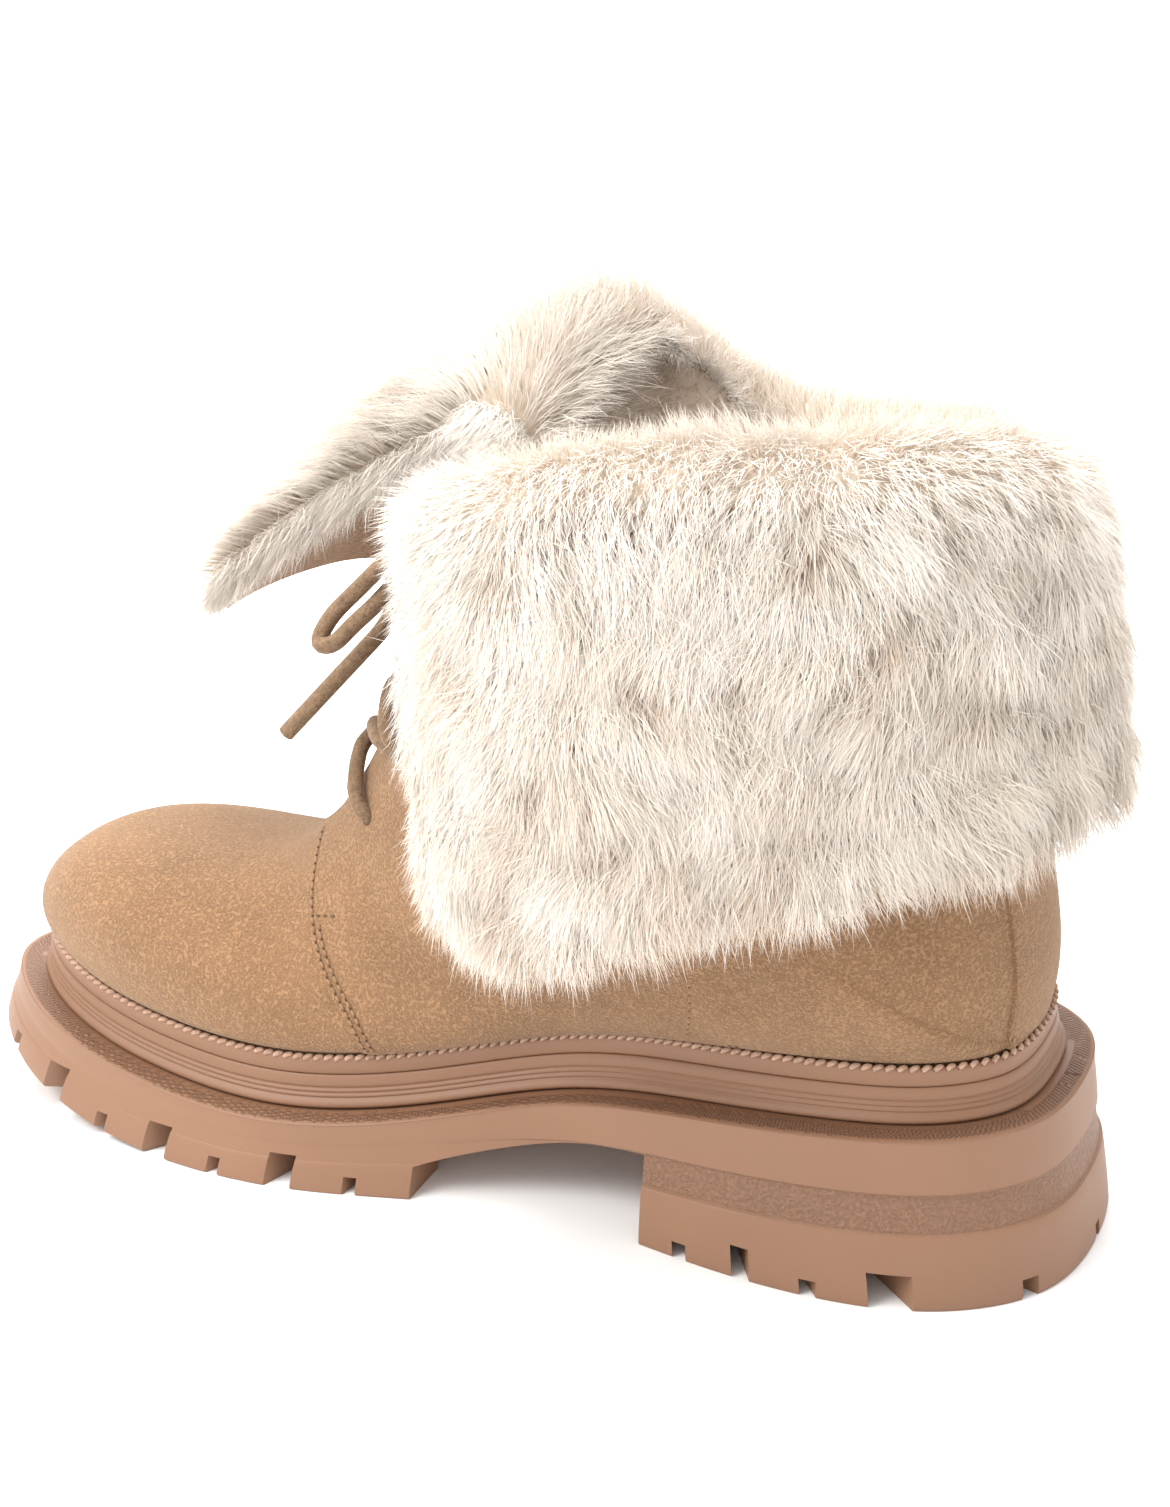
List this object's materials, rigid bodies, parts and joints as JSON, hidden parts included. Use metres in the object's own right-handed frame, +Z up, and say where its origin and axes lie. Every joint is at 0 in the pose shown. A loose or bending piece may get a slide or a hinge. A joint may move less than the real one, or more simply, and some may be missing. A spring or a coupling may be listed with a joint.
{
  "type": "sheepskin boot",
  "caption": "Lace-up ankle boot in suede with a turned-down fur cuff, a stitched welt and a chunky lug sole with a block heel.",
  "frame": {"origin": "on the floor plane under the middle of the heel, at the heel's flat rest face", "axes": "+X from the heel to the toe, +Y to the inner side of the foot, +Z up"},
  "size_m": [0.2917, 0.1598, 0.2028],
  "materials": {
    "suede": "tan suede with a short soft nap",
    "sole_rubber": "rosy brown moulded rubber, satin",
    "fur": "long cream fur",
    "lining": "short pile lining",
    "lace": "brown suede cord"
  },
  "bodies": {
    "root": {"outsole": "sole_rubber", "midsole": "sole_rubber", "rand": "sole_rubber", "insole": "lining", "upper": "suede", "tongue": "suede", "cuff_backing": "suede", "fur_cuff": "fur", "lace_crossings": "lace", "bow_knot": "lace", "bow_loop_inner": "lace", "bow_loop_outer": "lace", "lace_end_inner": "lace", "lace_end_outer": "lace"}
  },
  "joints": []
}
